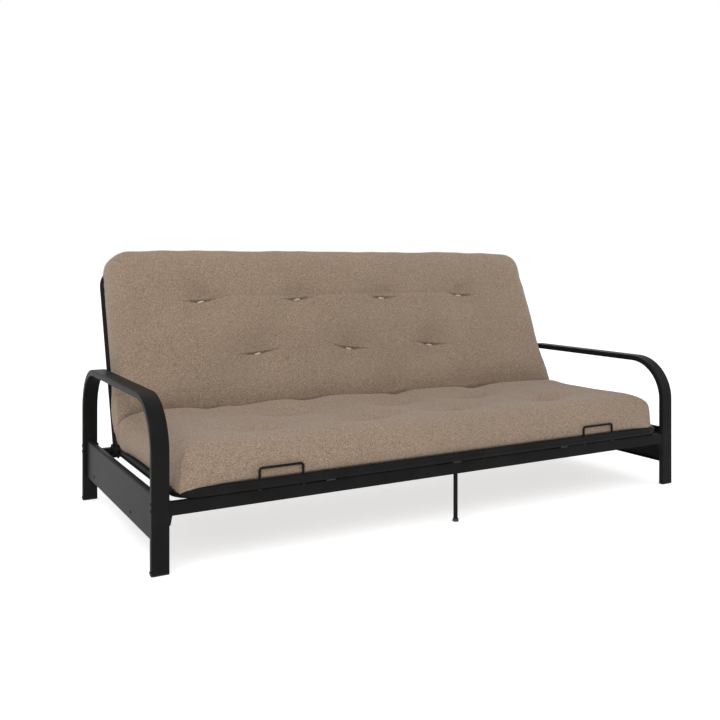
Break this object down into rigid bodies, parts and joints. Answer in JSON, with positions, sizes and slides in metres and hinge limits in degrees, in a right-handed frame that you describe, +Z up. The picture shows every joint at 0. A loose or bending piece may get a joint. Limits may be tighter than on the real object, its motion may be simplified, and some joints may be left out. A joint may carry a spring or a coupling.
{
  "type": "futon sofa bed",
  "caption": "Metal arm futon sofa bed: the seat slides forward on a tubular base while the hinged back folds flat, with a tufted full-size mattress.",
  "frame": {"origin": "on the floor, under the middle of the sofa's whole width and depth", "axes": "+X along the sofa towards the sitter's left-hand arm as they look out, +Y towards the back, +Z up"},
  "size_m": [2.006, 0.91, 0.8847],
  "materials": {
    "black_frame": "satin",
    "black_hardware": "satin",
    "black_plastic": "matte",
    "mattress_cloth": "woven"
  },
  "bodies": {
    "base": {"arm_left": "black_frame", "arm_right": "black_frame", "panel_left": "black_frame", "panel_right": "black_frame", "panel_screws": "black_hardware", "guide_left": "black_frame", "guide_right": "black_frame", "front_rail": "black_frame", "back_rail": "black_frame", "rail_brackets": "black_frame", "leg_bolts": "black_hardware", "rail_pads": "black_plastic", "centre_leg": "black_frame", "centre_foot": "black_plastic", "foot_caps": "black_plastic", "cap_rivets": "black_hardware"},
    "seat": {"seat_frame": "black_frame", "seat_bars": "black_frame", "seat_deck": "black_frame", "hinge_plate_left": "black_frame", "hinge_plate_right": "black_frame", "inner_plate_left": "black_frame", "inner_plate_right": "black_frame", "hinge_pins": "black_hardware", "hinge_nuts": "black_hardware", "glide_studs": "black_hardware", "glide_blocks": "black_plastic", "seat_plugs": "black_plastic", "stopper_left": "black_frame", "stopper_right": "black_frame", "stopper_nuts": "black_hardware", "seat_mattress": "mattress_cloth"},
    "back": {"back_frame": "black_frame", "back_bars": "black_frame", "back_deck": "black_frame", "back_plugs": "black_plastic", "back_mattress": "mattress_cloth"}
  },
  "joints": [
    {"name": "seat_slide", "type": "slide", "parent": "base", "child": "seat", "axis": [0, -1, 0], "range_m": [0, 0.24]},
    {"name": "back_fold", "type": "hinge", "parent": "seat", "child": "back", "pos_m": [0, 0.22748, 0.209], "axis": [-1, 0, 0], "range_deg": [0, 70.35]}
  ],
  "couplings": [
    {"joint": "back_fold", "follows": "seat_slide", "rad_per_m": 5.1159}
  ]
}
